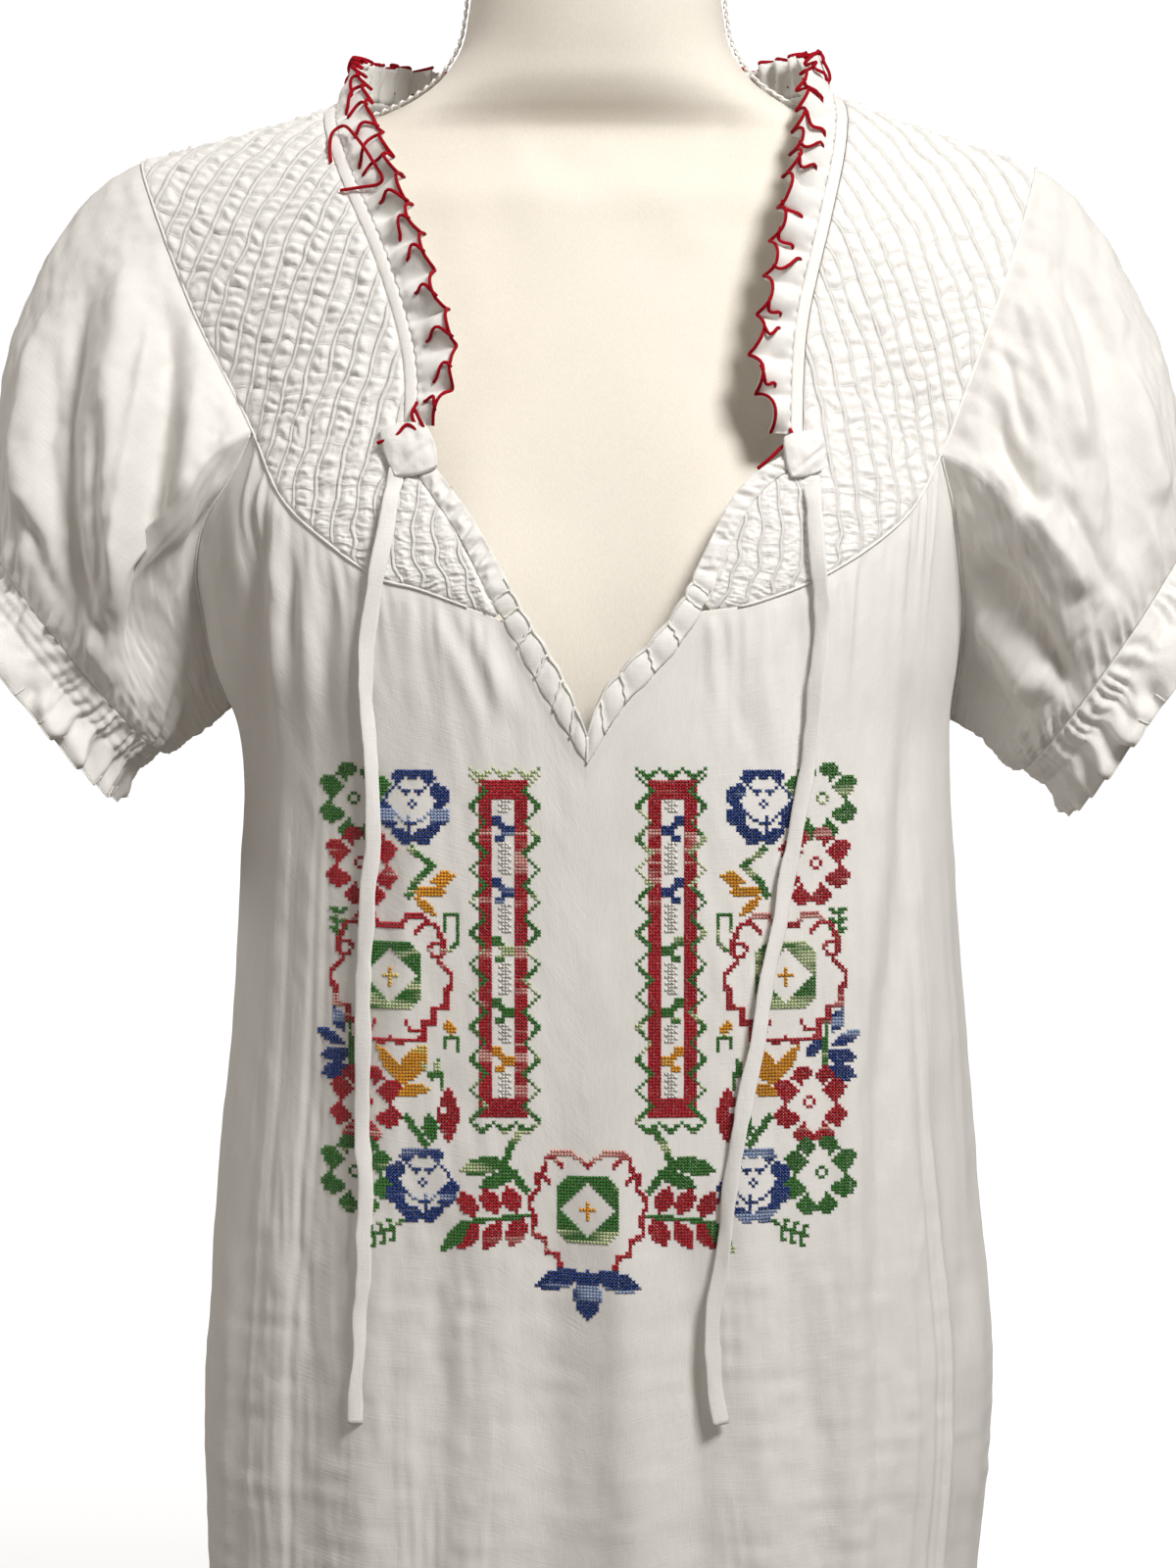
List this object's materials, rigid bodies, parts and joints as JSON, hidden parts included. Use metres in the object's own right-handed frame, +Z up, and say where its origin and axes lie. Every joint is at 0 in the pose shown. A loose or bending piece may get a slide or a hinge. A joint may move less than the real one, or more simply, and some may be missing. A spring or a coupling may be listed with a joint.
{
  "type": "peasant blouse on a dress form",
  "caption": "White cotton peasant blouse with smocked yoke, frilled neck, laced slit, puffed short sleeves and cross-stitched front, on a limbless dress form.",
  "frame": {"origin": "centre of the flat underside of the dress form, on the floor", "axes": "+Z up along the form, front of the blouse towards -Y, +X to the right of someone facing the blouse"},
  "size_m": [0.6061, 0.2573, 0.889],
  "materials": {
    "cotton": "soft plain-woven cotton",
    "smocked_cotton": "smocked plain-woven cotton",
    "frill_cotton": "gathered cotton edged with stitching",
    "band_cotton": "flat folded cotton tape",
    "form_jersey": "matt jersey cover",
    "form_trim": "looped braid"
  },
  "bodies": {
    "root": {"front_panel": "cotton", "back_panel": "cotton", "sleeve_left": "cotton", "sleeve_right": "cotton", "yoke": "smocked_cotton", "cuff_left": "frill_cotton", "cuff_right": "frill_cotton", "neck_ruffle": "frill_cotton", "neck_binding": "band_cotton", "slit_facing": "band_cotton", "tab_left": "band_cotton", "tab_right": "band_cotton", "tie_left": "band_cotton", "tie_right": "band_cotton", "form_torso": "form_jersey", "form_braid_left": "form_trim", "form_braid_right": "form_trim"}
  },
  "joints": []
}
